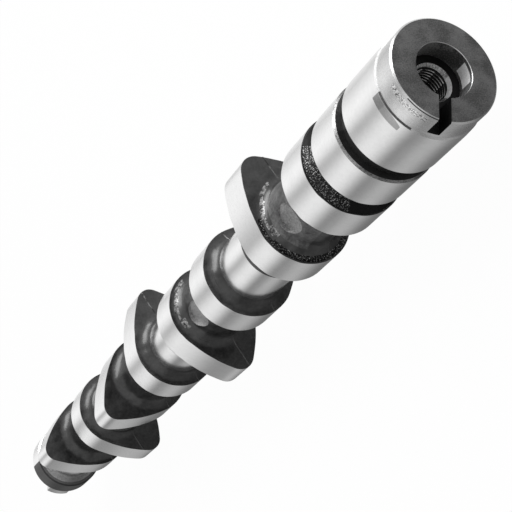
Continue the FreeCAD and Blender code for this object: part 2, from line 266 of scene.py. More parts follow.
@dataclass(frozen=True)
class Columns:
    """The angles at which every ring has its points.

    They are even, and more stand at the two parting lines of the casting. The two columns at the
    slot's sides are doubled, so that the slot's walls can run between a pair.
    """

    count: int = 160
    slot_turn: float = 16.0
    slot_step: int = 3
    tongue_step: int = 9
    parting_turn: float = 156.5
    parting_half: float = 0.8

    @property
    def step(self) -> float:
        """Return the even angle between two columns, in degrees."""
        return 360.0 / self.count

    @property
    def slot_edge(self) -> float:
        """Return the even column at a side of the slot, in degrees from the slot's middle."""
        return self.slot_step * self.step

    def local(self) -> np.ndarray:
        """Return the columns' angles.

        Returns:
            Angles in degrees from the slot's middle, in rising order.
        """
        even = np.arange(self.count) * self.step
        parting = (self.parting_turn - self.slot_turn) % 360.0
        lines = [parting + half + shift for half in (0.0, 180.0)
                 for shift in (-self.parting_half, 0.0, self.parting_half)]
        doubled = [self.slot_edge, 360.0 - self.slot_edge]
        return np.sort(np.concatenate([even, np.mod(lines, 360.0), doubled]))

    def inner(self) -> np.ndarray:
        """Find the columns that lie in the slot.

        Returns:
            True for those columns, the near one of each doubled pair included.
        """
        angles = self.local()
        edge = self.slot_edge
        inside = (angles < edge - CLOSE) | (angles > 360.0 - edge + CLOSE)
        first = int(np.flatnonzero(np.abs(angles - edge) < CLOSE)[0])
        last = int(np.flatnonzero(np.abs(angles - 360.0 + edge) < CLOSE)[-1])
        inside[[first, last]] = True
        return inside

    def ridge(self) -> np.ndarray:
        """Return 1 at the columns on the parting lines and 0 elsewhere."""
        turn = self.local() + self.slot_turn - self.parting_turn
        return (np.abs((turn + 90.0) % 180.0 - 90.0) < CLOSE).astype(float)

    def world(self, local: np.ndarray) -> np.ndarray:
        """Return angles about the shaft in radians for angles in degrees from the slot."""
        return np.radians(local + self.slot_turn)

    def even(self) -> np.ndarray:
        """Return the columns' own angles about the shaft in radians."""
        return self.world(self.local())

    def within(self, arc: Arc) -> np.ndarray:
        """Return True for the columns in an arc."""
        return (np.degrees(self.even()) - arc.low) % 360.0 < arc.high - arc.low


COLUMNS = Columns()


@dataclass
class Skin:
    """The rings of the shaft's surface, and the band and relief of each.

    A ring holds, for every column, its place along the shaft, its radius and its angle. The relief
    of the casting pushes a point along the profile's normal by the ring's share, and along the
    shaft by its slide.
    """

    columns: Columns
    x: list[np.ndarray] = field(default_factory=list)
    r: list[np.ndarray] = field(default_factory=list)
    angle: list[np.ndarray] = field(default_factory=list)
    band: list[np.ndarray] = field(default_factory=list)
    share: list[np.ndarray] = field(default_factory=list)
    slide: list[np.ndarray] = field(default_factory=list)
    windows: list[tuple[int, int, int, int, float]] = field(default_factory=list)

    def spread(self, number: Lengths) -> np.ndarray:
        """Return a number, or an array of one number a column, as such an array."""
        return np.broadcast_to(np.asarray(number, float), self.columns.local().shape).copy()

    def ring(self, x: Lengths, r: Lengths, band: Band, angle: np.ndarray | None = None,
             share: Lengths = 0.0, slide: Lengths = 0.0) -> None:
        """Add one ring.

        Args:
            x: Place along the shaft.
            r: Radius.
            band: Surface between the last ring and this one.
            angle: Angles in radians; the even columns where it is left out.
            share: Part of the cast relief along the profile's normal.
            slide: Part of the cast relief along the shaft.
        """
        self.x.append(self.spread(x))
        self.r.append(self.spread(r))
        even = self.columns.even()
        self.angle.append(even if angle is None else angle.copy())
        self.band.append(np.full(len(even), band.value))
        self.share.append(self.spread(share))
        self.slide.append(self.spread(slide))

    def to(self, x: Lengths, r: Lengths, band: Band, step: float = 100.0,
           angle: np.ndarray | None = None, share: float = 0.0, slide: float = 0.0) -> None:
        """Carry the skin straight on to a new ring, with rings between at even spacing.

        Args:
            x: Place of the new ring along the shaft.
            r: Its radius.
            band: Surface on the way.
            step: Greatest distance between two rings.
            angle: Angles of the new ring in radians.
            share: Part of the cast relief along the normal, reached at the new ring.
            slide: Part of the cast relief along the shaft, reached at the new ring.
        """
        x1, r1 = self.spread(x), self.spread(r)
        a1 = self.columns.even() if angle is None else angle
        x0, r0, a0 = self.x[-1], self.r[-1], self.angle[-1]
        p0, s0 = self.share[-1], self.slide[-1]
        count = max(1, math.ceil(float(np.hypot(x1 - x0, r1 - r0).max()) / step - CLOSE))
        for part in np.arange(1, count + 1) / count:
            self.ring(x0 + (x1 - x0) * part, r0 + (r1 - r0) * part, band, a0 + (a1 - a0) * part,
                      p0 + (share - p0) * part, s0 + (slide - s0) * part)

    def last(self) -> int:
        """Return the number of the last ring."""
        return len(self.x) - 1

    def repaint(self, arc: Arc, first: int, last: int | None = None) -> None:
        """Give an arc of the skin its own band.

        Args:
            arc: The arc.
            first: The first ring whose faces change.
            last: The last ring whose faces change; the skin's last where it is left out.
        """
        held = self.columns.within(arc)
        for number in range(first, (self.last() if last is None else last) + 1):
            self.band[number][held] = arc.band.value


@dataclass(frozen=True)
class CastRelief:
    """The unevenness of a sand casting: a sum of plane waves in random directions.

    Height at a point is the sum of cos(k . p + phase) over the waves, scaled to the wanted swing.
    """

    swing: float = 0.09
    shortest: float = 3.0
    longest: float = 12.0
    waves: int = 48
    seed: int = 11
    ridge: float = 0.22

    def height(self, place: np.ndarray) -> np.ndarray:
        """Work out the relief at points.

        Args:
            place: Points in mm, with x, y and z on the last axis.

        Returns:
            The height at each point in mm.
        """
        draw = np.random.default_rng(self.seed)
        way = draw.normal(size=(self.waves, 3))
        way /= np.linalg.norm(way, axis=1)[:, None]
        length = np.exp(draw.uniform(math.log(self.shortest), math.log(self.longest), self.waves))
        phase = draw.uniform(0.0, 2.0 * math.pi, self.waves)
        size = np.sqrt(length / self.longest)
        total = np.zeros(place.shape[:-1])
        for index in range(self.waves):
            total += size[index] * np.cos(
                place @ (way[index] * 2.0 * math.pi / length[index]) + phase[index])
        return self.swing * total / math.sqrt(float((size ** 2).sum()) / 2.0)


RELIEF = CastRelief()


@dataclass(frozen=True)
class NoseHole:
    """The bolt hole with its thread and its 60 degree centre."""

    sizes: FrontSizes = FRONT

    def lay(self, skin: Skin) -> None:
        """Carry the skin from the hole's end out to the counterbore's floor.

        The thread's radius is a wave about the shaft that advances one pitch a turn:
        r = minor + depth * (1 - cos(2 pi (x / pitch - angle / 360))) / 2. The centre cuts it away
        where the centre is wider.

        Args:
            skin: The skin to begin.
        """
        s = self.sizes
        skin.ring(s.hole_point, 0.0, Band.DRILLED)
        skin.to(s.hole_end, s.tapping_radius, Band.DRILLED, 3.0)
        cut = s.counterbore_floor + s.thread_turns * s.thread_pitch
        skin.to(cut + s.thread_pitch, s.tapping_radius, Band.DRILLED, 3.0)
        steps = s.thread_turns * s.thread_rings
        turn = skin.columns.local() / 360.0
        slope = math.tan(math.radians(s.centre_slope))
        for back in range(steps, -1, -1):
            x = s.counterbore_floor + back * s.thread_pitch / s.thread_rings
            depth = (s.thread_root - s.tapping_radius) * min(1.0, (steps - back) / s.thread_rings)
            wave = 0.5 - 0.5 * np.cos(2.0 * math.pi * (x / s.thread_pitch - turn))
            cone = s.centre_radius - (x - s.counterbore_floor) * slope
            thread = s.tapping_radius + depth * wave
            skin.ring(x, np.maximum(thread, cone), Band.DRILLED)
            # The crests alone are painted bright and the roots painted in deep shade, as in a
            # tapped hole the roots lie in shade; one arc of the centre's cone is a painted
            # highlight
            skin.band[-1] = np.select(
                [(cone > thread) & skin.columns.within(ARCS.cone_highlight_painted), cone > thread,
                 wave < s.thread_crest],
                [Band.BORE_LIT.value, Band.CENTRE.value, Band.CREST.value], Band.DRILLED.value)


@dataclass(frozen=True)
class DriveSlot:
    """The slot across the nose's rim, from the counterbore out."""

    sizes: FrontSizes = FRONT
    reach: float = 45.0

    def turn(self, columns: Columns, radius: Lengths) -> np.ndarray:
        """Turn the slot's two side columns onto its walls.

        A wall stands half the slot's width from the middle plane, so at radius r its angle is
        asin(half / r), and the columns out to the reach follow it evenly.

        Args:
            columns: The skin's columns.
            radius: The ring's radius.

        Returns:
            The columns' angles about the shaft in radians.
        """
        local = columns.local()
        edge = columns.slot_edge
        side = np.degrees(np.arcsin(self.sizes.slot_half / np.broadcast_to(radius, local.shape)))
        near = np.minimum(local, 360.0 - local)
        inside = near / edge * side
        outside = side + (near - edge) / (self.reach - edge) * (self.reach - side)
        moved = np.where(near <= edge + CLOSE, inside, np.where(near < self.reach, outside, near))
        return columns.world(np.where(local > 180.0, 360.0 - moved, moved))

    def cut(self, skin: Skin, first: int, last: int) -> None:
        """Lay the skin's inner columns along the slot's floor.

        Args:
            skin: The skin to cut.
            first: The ring on the counterbore's floor at which the slot begins.
            last: The ring on the nose at which the slot's floor comes out.
        """
        s = self.sizes
        inner = skin.columns.inner()
        after = int(np.flatnonzero(inner & ~np.roll(inner, -1))[0])
        before = int(np.flatnonzero(~inner & np.roll(inner, -1))[0])
        local = skin.columns.local()[inner]
        signed = np.where(local > 180.0, local - 360.0, local)
        across = s.slot_half * signed / skin.columns.slot_edge
        reach = np.sqrt(s.nose_radius ** 2 - across ** 2)
        for number in range(first, last + 1):
            part = max(0.0, (number - first - 1) / (last - first - 1))
            along = s.slot_inner + (reach - s.slot_inner) * part
            skin.x[number][inner] = s.counterbore_floor if number == first else s.slot_floor
            skin.r[number][inner] = np.hypot(along, across)
            skin.angle[number][inner] = (np.arctan2(across, along)
                                         + math.radians(skin.columns.slot_turn))
            # From here on the slot's floor and walls are painted deep shade
            if number > first:
                skin.band[number][inner] = Band.DRILLED.value
                skin.band[number][[after, before]] = Band.DRILLED.value


@dataclass(frozen=True)
class FrontEnd:
    """The counterbore, the front face, the nose, the land, the grooves and the front bearing."""

    sizes: FrontSizes = FRONT
    arcs: FrontArcs = ARCS
    crescent: RunOutSizes = RunOutSizes()
    slot: DriveSlot = DriveSlot()

    def lay(self, skin: Skin) -> None:
        """Carry the skin from the counterbore's floor to the first lobe's core.

        Args:
            skin: The skin to carry on.
        """
        s = self.sizes
        start = math.hypot(s.slot_inner, s.slot_half)
        stops = [(s.counterbore_floor, s.counterbore_radius, Band.DRILLED, 0.6),
                 (s.rim, s.counterbore_radius, Band.BORE_WALL, 1.4),
                 (0.0, s.counterbore_radius + s.rim, Band.TURNED, 1.0),
                 (0.0, s.nose_radius - s.nose_edge, Band.END_FACE, 1.2),
                 (s.nose_edge, s.nose_radius, Band.TURNED, 0.5),
                 (s.pitted_end, s.nose_radius, Band.TURNED, 1.5),
                 (s.slot_floor, s.nose_radius, Band.TURNED, 1.8)]
        skin.to(s.counterbore_floor, start, Band.DRILLED, 0.8,
                angle=self.slot.turn(skin.columns, start))
        first = skin.last()
        for x, r, band, step in stops:
            skin.to(x, r, band, step)
            for number in range(first, skin.last() + 1):
                skin.angle[number] = self.slot.turn(skin.columns, skin.r[number])
            # One arc of the counterbore's wall is a painted highlight
            if x == s.rim:
                skin.repaint(self.arcs.bore_lit, skin.last() - 4, skin.last() - 1)
            # One arc of the nose's edge is painted shade
            if x == s.nose_edge:
                skin.repaint(self.arcs.edge_shade_painted, skin.last())
            if x == s.pitted_end:
                skin.repaint(self.arcs.pitted, skin.last() - 1)
        self.slot.cut(skin, first, skin.last())
        skin.to(s.nose_end, s.nose_radius, Band.TURNED, 1.8)
        self.lead_in(skin)
        skin.to(s.land_end - s.edge, s.radius, Band.GROUND, 3.0)
        skin.to(s.land_end, s.radius - s.edge, Band.GROUND)
        groove = skin.last() + 1
        # The groove is painted shade all round; painted half shade and its own grey are laid back
        # on its lit side
        skin.to(s.land_end, s.thrust_floor, Band.GROOVE_DARK, 1.2)
        skin.to(s.bearing_start, s.thrust_floor, Band.GROOVE_DARK, 2.1)
        skin.to(s.bearing_start, s.radius - s.edge, Band.GROOVE_DARK, 1.2)
        skin.repaint(self.arcs.groove, groove)
        skin.repaint(self.arcs.groove_half, groove)
        skin.to(s.bearing_start + s.edge, s.radius, Band.CHAMFER)
        skin.to(s.bearing_end, s.radius, Band.GROUND, 3.0, slide=0.6)
        groove = skin.last() + 1
        skin.to(s.bearing_end, s.cast_floor, Band.ROUGH_CAST, 0.8, share=1.2)
        skin.to(LOBE.starts[0] - STEM.cone, s.cast_floor, Band.ROUGH_CAST, 0.8, share=1.4)
        skin.to(LOBE.starts[0], STEM.core, Band.ROUGH_CAST, 0.8, slide=-1.0)
        # Two arcs of the cast groove are painted deep shade
        skin.repaint(self.arcs.cast_upper_shade_painted, groove)
        skin.repaint(self.arcs.cast_under_shade_painted, groove)

    def lead_in(self, skin: Skin) -> None:
        """Carry the skin from the nose up the shoulder and along the lead-in to the land.

        The grinding wheel has left a crescent of turned iron on one side, painted shade on two
        arcs. Its near edge leaves the shoulder where the crescent thins out: x = shoulder + near +
        by * (part of the way)^2.

        Args:
            skin: The skin to carry on.
        """
        s, crescent = self.sizes, self.crescent
        foot = s.radius - s.lead_in_drop
        rise = s.lead_in_drop / (s.land_start - s.shoulder_end)
        skin.to(s.shoulder_end, foot, Band.TURNED)
        # One arc of the shoulder is painted shade, and the next a painted highlight
        skin.repaint(self.arcs.shoulder_shade_painted, skin.last())
        skin.repaint(self.arcs.shoulder_highlight_painted, skin.last())
        turn = np.degrees(skin.columns.even())
        part = np.clip((crescent.thin_turn - turn) / crescent.thin_over, 0.0, 1.0)
        near = crescent.near + crescent.thin_by * part ** 2
        skin.to(s.shoulder_end + near, foot + rise * near, Band.GROUND)
        far = s.land_start - s.shoulder_end - crescent.far
        first = skin.last() + 1
        skin.to(s.shoulder_end + far, foot + rise * far, Band.GROUND, 1.2)
        # Two arcs of the crescent are painted shade and painted half shade
        skin.repaint(self.arcs.run_out, first)
        skin.repaint(self.arcs.run_out_pale, first)
        skin.to(s.land_start, s.radius, Band.GROUND)


@dataclass(frozen=True)
class Lobes:
    """The eight cam lobes, each between its two cast flanks."""

    sizes: LobeSizes = LOBE

    def outline(self, columns: Columns, turn: float) -> np.ndarray:
        """Return the lobe's radius at each column.

        It is made of three tangent arcs. With b the angle from the tip, the distance from the axis
        to an arc of radius R about a centre C is C . d + sqrt((C . d)^2 - |C|^2 + R^2), where d is
        the direction at b.

        Args:
            columns: The skin's columns.
            turn: Angle of the lobe's tip about the shaft in degrees.

        Returns:
            The radius at each column in mm.
        """
        s = self.sizes
        place = s.base + s.lift - s.tip
        to_base, to_tip = s.flank - s.base, s.flank - s.tip
        flank_u = (to_base ** 2 - to_tip ** 2 + place ** 2) / (2.0 * place)
        flank_v = math.sqrt(to_base ** 2 - flank_u ** 2)
        scale = s.flank / to_tip
        tip_end = math.atan2(-flank_v + flank_v * scale, flank_u + (place - flank_u) * scale)
        base_end = math.atan2(flank_v, -flank_u)
        b = np.radians(np.abs((np.degrees(columns.even()) - turn + 180.0) % 360.0 - 180.0))
        on_tip = place * np.cos(b) + np.sqrt(np.maximum(s.tip ** 2 - (place * np.sin(b)) ** 2, 0.0))
        along = flank_u * np.cos(b) - flank_v * np.sin(b)
        on_flank = along + np.sqrt(along ** 2 - to_base ** 2 + s.flank ** 2)
        return np.select([b < tip_end, b < base_end], [on_tip, on_flank], s.base)

    def lay(self, skin: Skin, number: int) -> None:
        """Carry the skin from the core up one flank, over the ground face and down the other.

        Args:
            skin: The skin to carry on.
            number: The lobe's number from the front, from 0.
        """
        s = self.sizes
        radius = self.outline(skin.columns, s.turns[number])
        front = s.starts[number]
        rear = front + s.width
        skin.to(front, radius - s.edge, Band.CAST, 1.5, slide=-1.0)
        skin.to(front + s.edge, radius, Band.CAST, slide=-1.0)
        skin.to(front + s.width / 3.0, radius, Band.GROUND)
        skin.to(rear - s.width / 3.0, radius, Band.GROUND)
        skin.to(rear - s.edge, radius, Band.GROUND, slide=1.0)
        skin.to(rear, radius - s.edge, Band.GROUND, slide=1.0)
        skin.to(rear, STEM.core, Band.CAST, 1.5, slide=1.0)


@dataclass(frozen=True)
class Stem:
    """The shaft between two lobes: a cast waist, or a ground bearing between two necks."""

    sizes: StemSizes = STEM
    pad: PadSizes = PAD
    bends: tuple[float, ...] = (20.0, 37.0, 53.0, 64.0, 74.0, 82.0)
    worn: Arc = Arc(10.0, 160.0, Band.WORN_CAST)
    fringe: Arc = Arc(-60.0, 88.0, Band.ROUGH_CAST)
    fringe_low: Arc = Arc(-60.0, 56.0, Band.ROUGH_CAST)
    sandy: tuple[Arc, ...] = (Arc(118.0, 140.0, Band.SANDY), Arc(84.0, 138.0, Band.SANDY),
                              Arc(60.0, 112.0, Band.SANDY), Arc(56.0, 74.0, Band.SANDY))

    def waist_radius(self, x: Lengths, start: float, end: float) -> np.ndarray:
        """Work out a waist's radius: a straight run with a quarter ellipse up into each lobe.

        In the ellipse r = core - rise * sqrt(1 - (depth / length)^2), with depth the distance
        that x lies past the ellipse's centre.

        Args:
            x: Places along the shaft.
            start: Place of the lobe's flank before the waist.
            end: Place of the lobe's flank after it.

        Returns:
            The radius at each place.
        """
        s = self.sizes
        rise = s.core - s.waist
        depth = np.maximum(start + s.round_length - x, x - (end - s.round_length))
        part = np.clip(depth / s.round_length, 0.0, 1.0)
        return s.core - rise * np.sqrt(1.0 - part ** 2)

    def waist(self, skin: Skin, start: float, end: float, padded: bool, worn: bool) -> None:
        """Carry the skin along a waist, with a window for its pad where it has one.

        Args:
            skin: The skin to carry on.
            start: Place of the lobe's flank before the waist.
            end: Place of the lobe's flank after it.
            padded: Whether a pad is milled on it. Its rear round then has burnt-on sand with a
                painted highlight.
            worn: Whether it is brushed bright, with a rough fringe at the lobe after it.
        """
        s, pad = self.sizes, self.pad
        bend = s.round_length * (1.0 - np.sin(np.radians(self.bends)))
        middle = (start + end) / 2.0 + pad.offset
        low, high = start + bend[0], end - bend[0]
        if padded:
            near = middle - pad.radius - pad.margin
            inside = np.linspace(near, high, 11)
            between = np.linspace(low, near, 3)[:-1]
        else:
            inside, between = np.linspace(low, high, 10), np.array([])
        stops = np.concatenate([start + bend[::-1][:-1], between, inside, end - bend[1:], [end]])
        first = skin.last() + 1
        for x in stops:
            skin.ring(x, self.waist_radius(x, start, end), Band.CAST, share=1.0)
        last = skin.last()
        if worn:
            skin.repaint(self.worn, first + 5, last - 5)
            skin.repaint(self.fringe, last - 1)
            skin.repaint(self.fringe_low, last - 2, last - 2)
        if padded:
            # A strip of the rear round is a painted highlight among burnt-on sand
            for back, arc in enumerate(self.sandy, 1):
                skin.repaint(arc, last - back, last - back)
            local = skin.columns.local()
            centre = (pad.turn - skin.columns.slot_turn) % 360.0
            held = np.flatnonzero(np.abs(local - centre) <= pad.reach)
            rows = np.flatnonzero((stops >= inside[0] - CLOSE) & (stops <= inside[-1] + CLOSE))
            skin.windows.append((first + int(rows[0]), first + int(rows[-1]), int(held[0]),
                                 int(held[-1]), middle))

    def bearing(self, skin: Skin, start: float, end: float) -> None:
        """Carry the skin along a ground bearing that stands proud of a cast neck on each side.

        Args:
            skin: The skin to carry on.
            start: Place of the lobe's flank before the bearing.
            end: Place of the lobe's flank after it.
        """
        s = self.sizes
        low, high = s.bearing - s.relief, s.bearing
        self.neck(skin, start, 1.0)
        skin.to(start + s.margin, high, Band.CAST)
        skin.to(start + s.unground, high, Band.CAST)
        skin.to(end - s.margin, high, Band.GROUND, 6.0)
        # The relief step is painted deep shade, so that it shows no gleam
        skin.to(end - s.margin + s.relief, low, Band.DRILLED, share=0.5)
        self.neck(skin, end, -1.0)

    def neck(self, skin: Skin, flank: float, way: float) -> None:
        """Carry the skin along a hollow round between a flank and a neck.

        It is a quarter ellipse: r = core - rise * cos(bend), at a distance from the flank of
        length * (1 - sin(bend)).

        Args:
            skin: The skin to carry on.
            flank: Place of the flank.
            way: 1 where the neck lies after the flank, -1 where it lies before it.
        """
        s = self.sizes
        length = s.margin - s.relief
        for bend in (self.bends[::-1] if way > 0.0 else self.bends):
            turn = math.radians(bend)
            skin.to(flank + way * length * (1.0 - math.sin(turn)),
                    s.core - (s.core - s.bearing + s.relief) * math.cos(turn), Band.CAST,
                    share=0.7)
        if way > 0.0:
            skin.to(flank + length, s.bearing - s.relief, Band.CAST, share=0.7)
        else:
            skin.to(flank, s.core, Band.CAST, slide=-1.0)


@dataclass(frozen=True)
class PadPatch:
    """A milled pad and the cast skin round it, filling the window of a waist.

    Rings run inwards from the window's edge. In the plane of the pad, with u along the shaft and v
    across it, they blend from the window's edge to the pad's circle, (u, v) = R (cos, sin), on the
    waist. They then step down the wall to the flat, and go on to its middle.
    """

    middle: float
    pad: PadSizes = PAD
    stem: Stem = Stem()
    relief: CastRelief = RELIEF
    blends: int = 3
    discs: tuple[float, ...] = (0.94, 0.7, 0.45, 0.2, 0.0)
    smoothed: float = 0.8

    def edge(self, window: np.ndarray) -> np.ndarray:
        """Return the points on the edge of a block of points by ring and column, each once."""
        return np.concatenate([window[0, :-1], window[:-1, -1], window[-1, :0:-1],
                               window[:0:-1, 0]])

    def points(self, window: np.ndarray, start: float, end: float) -> np.ndarray:
        """Return the patch's points in mm, ring by ring.

        Args:
            window: The skin's points in the window, by ring and column.
            start: Place of the lobe's flank before the waist.
            end: Place of the lobe's flank after it.

        Returns:
            Points by ring, place in the ring, and axis.
        """
        turn = math.radians(self.pad.turn)
        out = np.array([0.0, math.cos(turn), math.sin(turn)])
        across = np.array([0.0, -math.sin(turn), math.cos(turn)])
        rim = self.edge(window)
        u, v = rim[:, 0] - self.middle, rim @ across
        way = np.arctan2(v, u)
        circle_u, circle_v = self.pad.radius * np.cos(way), self.pad.radius * np.sin(way)
        rings = [rim]
        for part in np.arange(1, self.blends + 1) / self.blends:
            at_u, at_v = u + (circle_u - u) * part, v + (circle_v - v) * part
            radius = self.stem.waist_radius(self.middle + at_u, start, end)
            height = np.sqrt(radius ** 2 - at_v ** 2)
            place = self.place(at_u, at_v, height, out, across)
            lift = self.relief.height(place) * (1.0 - self.smoothed * part) / radius
            place[:, 1:] *= 1.0 + lift[:, None]
            rings.append(place)
        flat = np.full(len(way), self.pad.height)
        for share in (1.0, *self.discs):
            rings.append(self.place(circle_u * share, circle_v * share, flat, out, across))
        return np.array(rings)

    def place(self, u: np.ndarray, v: np.ndarray, height: np.ndarray, out: np.ndarray,
              across: np.ndarray) -> np.ndarray:
        """Return points from their places along and across the shaft and their heights."""
        points = height[:, None] * out + v[:, None] * across
        points[:, 0] = self.middle + u
        return points

    def bands(self, count: int, around: int) -> np.ndarray:
        """Return the band of each ring's faces.

        Args:
            count: Points a ring.
            around: Number of the band that the waist has about the pad.

        Returns:
            Numbers of bands, face by face.
        """
        kinds = [around] * self.blends + [Band.MILLED.value] * (1 + len(self.discs))
        return np.repeat(kinds, count)


@dataclass(frozen=True)
class RearEnd:
    """The rear bearing, the flange, the tongue across its face and the centre in its end.

    The flange is faced bright next to the bearing, and one side of its rim is painted shade.
    """

    sizes: RearSizes = REAR
    flange_shade_painted: Arc = Arc(-70.0, 84.0, Band.GROOVE_DARK)
    faced: float = 1.8

    def tongue_turn(self, columns: Columns) -> np.ndarray:
        """Turn four columns onto the tongue's corners, and the rest evenly between them.

        Args:
            columns: The skin's columns.

        Returns:
            The columns' angles about the shaft in radians.
        """
        s = self.sizes
        edge = columns.tongue_step * columns.step
        corner = math.degrees(math.asin(s.tongue_half / s.tongue_radius))
        knots = [0.0, edge, 180.0 - edge, 180.0 + edge, 360.0 - edge, 360.0]
        places = [0.0, corner, 180.0 - corner, 180.0 + corner, 360.0 - corner, 360.0]
        return columns.world(np.interp(columns.local(), knots, places))

    def tongue_radius(self, columns: Columns, angle: np.ndarray) -> np.ndarray:
        """Work out the tongue's outline: the lesser of its radius and half / |sin(angle)|.

        Args:
            columns: The skin's columns.
            angle: Angles about the shaft in radians.

        Returns:
            The outline's radius at each angle.
        """
        s = self.sizes
        across = np.abs(np.sin(angle - math.radians(columns.slot_turn)))
        return np.minimum(s.tongue_radius, s.tongue_half / np.maximum(across, CLOSE))

    def lay(self, skin: Skin, start: float) -> None:
        """Carry the skin from the last lobe's core to the end of the rear centre.

        Args:
            skin: The skin to end.
            start: Place of the last lobe's rear flank.
        """
        s, stem = self.sizes, STEM
        Stem().neck(skin, start, 1.0)
        skin.to(s.bearing_start, stem.bearing, Band.CAST)
        skin.to(s.flange_start, stem.bearing, Band.GROUND, 6.0)
        skin.to(s.flange_start, stem.bearing + self.faced, Band.MILLED, 1.2)
        skin.to(s.flange_start, s.radius - s.edge, Band.GROOVE, 1.2)
        flange = skin.last() + 1
        skin.to(s.flange_start + s.edge, s.radius, Band.GROUND)
        skin.to(s.face - s.edge, s.radius, Band.GROUND, 3.0)
        skin.to(s.face, s.radius - s.edge, Band.GROUND)
        # One side of the rim is painted shade
        skin.repaint(self.flange_shade_painted, flange)
        turned = self.tongue_turn(skin.columns)
        outline = self.tongue_radius(skin.columns, turned)
        skin.to(s.face, np.minimum(outline, s.radius - s.edge), Band.TURNED, 2.5, angle=turned)
        skin.to(s.end, outline, Band.TURNED, 2.0, angle=turned)
        skin.to(s.end, s.centre_radius, Band.TURNED, 2.5)
        skin.to(s.end - s.centre_depth, s.pilot_radius, Band.DRILLED, 1.0)
        skin.to(s.end - s.pilot_depth, s.pilot_radius, Band.DRILLED, 1.5)
        skin.to(s.end - s.point_depth, 0.0, Band.DRILLED)


def linear(code: str) -> tuple[float, float, float, float]:
    """Turn an sRGB colour to linear.

    Args:
        code: The colour in hex, as #RRGGBB.

    Returns:
        Linear red, green, blue and alpha.
    """
    parts = [int(code[place:place + 2], 16) / 255.0 for place in (1, 3, 5)]
    red, green, blue = [part / 12.92 if part <= 0.04045 else ((part + 0.055) / 1.055) ** 2.4
                        for part in parts]
    return red, green, blue, 1.0


def add_node(tree: bpy.types.NodeTree, kind: str, inputs: dict | None = None,
             **settings: object) -> bpy.types.Node:
    """Add a node with its settings, and fill or link its inputs.

    Args:
        tree: The node tree.
        kind: The node's type without the words ShaderNode.
        inputs: Input names or numbers, each with a value or an output socket to link.
        settings: The node's own properties.

    Returns:
        The new node.
    """
    node = tree.nodes.new("ShaderNode" + kind)
    for name, value in settings.items():
        setattr(node, name, value)
    for name, value in (inputs or {}).items():
        if isinstance(value, bpy.types.NodeSocket):
            tree.links.new(value, node.inputs[name])
        else:
            node.inputs[name].default_value = value
    return node


def clear_tree(owner: bpy.types.Material | bpy.types.World) -> bpy.types.NodeTree:
    """Switch on a material's or a world's nodes, and return their tree emptied."""
    owner.use_nodes = True
    owner.node_tree.nodes.clear()
    return owner.node_tree


def put(name: str, data: bpy.types.ID) -> bpy.types.Object:
    """Put a mesh, a lamp or a camera into the scene, and return its object."""
    thing = bpy.data.objects.new(name, data)
    bpy.context.scene.collection.objects.link(thing)
    return thing


def per_mm(length: float) -> float:
    """Return the noise scale on metre coordinates whose grain is a length in mm."""
    return 1.0 / (length * MM)


@dataclass(frozen=True)
class IronFinish:
    """One way that the shaft's iron surface was made.

    Fine grain and broad clouds mix two greys, marks round the shaft swing the roughness, and the
    bump adds the grain's and the marks' heights. Lengths are in mm. A mark is so long round the
    shaft that it reads as a turned or ground line.
    """

    name: str
    dark: str
    light: str
    metallic: float
    roughness: float
    specular: float = 0.5
    roughness_swing: float = 0.05
    grain: float = 0.5
    grain_bump: float = 0.0
    line_pitch: float = 0.3
    line_bump: float = 0.0
    cloud: float = 9.0
    contrast: float = 0.25
    balance: float = 0.0
    line_length: float = 60.0

    def build(self) -> bpy.types.Material:
        """Make the finish.

        Returns:
            Its material.
        """
        material = bpy.data.materials.new(self.name)
        tree = clear_tree(material)
        round_shaft = per_mm(self.line_length)
        place = add_node(tree, "TexCoord").outputs["Object"]
        fine = add_node(tree, "TexNoise", {"Vector": place, "Scale": per_mm(self.grain),
                                           "Detail": 3.0, "Roughness": 0.6})
        broad = add_node(tree, "TexNoise", {"Vector": place, "Scale": per_mm(self.cloud),
                                            "Detail": 2.0})
        along = add_node(tree, "Mapping", {
            "Vector": place, "Scale": (per_mm(self.line_pitch), round_shaft, round_shaft)})
        lines = add_node(tree, "TexNoise", {"Vector": along.outputs["Vector"], "Scale": 1.0,
                                            "Detail": 2.0, "Roughness": 0.7})
        mixed = add_node(tree, "Math", {0: fine.outputs["Fac"], 1: broad.outputs["Fac"]},
                         operation="ADD")
        tone = add_node(tree, "MapRange", {"Value": mixed.outputs[0],
                                           "From Min": 1.0 + self.balance - self.contrast,
                                           "From Max": 1.0 + self.balance + self.contrast})
        colour = add_node(tree, "MixRGB", {"Fac": tone.outputs[0], "Color1": linear(self.dark),
                                           "Color2": linear(self.light)})
        rough = add_node(tree, "MapRange", {
            "Value": lines.outputs["Fac"], "From Min": 0.3, "From Max": 0.7,
            "To Min": self.roughness - self.roughness_swing,
            "To Max": self.roughness + self.roughness_swing})
        grain_bump = add_node(tree, "Bump", {"Height": fine.outputs["Fac"], "Strength": 1.0,
                                             "Distance": self.grain_bump * MM})
        line_bump = add_node(tree, "Bump", {"Height": lines.outputs["Fac"], "Strength": 1.0,
                                            "Distance": self.line_bump * MM,
                                            "Normal": grain_bump.outputs["Normal"]})
        shader = add_node(tree, "BsdfPrincipled", {
            "Base Color": colour.outputs["Color"], "Metallic": self.metallic,
            "Specular IOR Level": self.specular, "Roughness": rough.outputs[0],
            "Normal": line_bump.outputs["Normal"]})
        add_node(tree, "OutputMaterial", {"Surface": shader.outputs["BSDF"]})
        return material


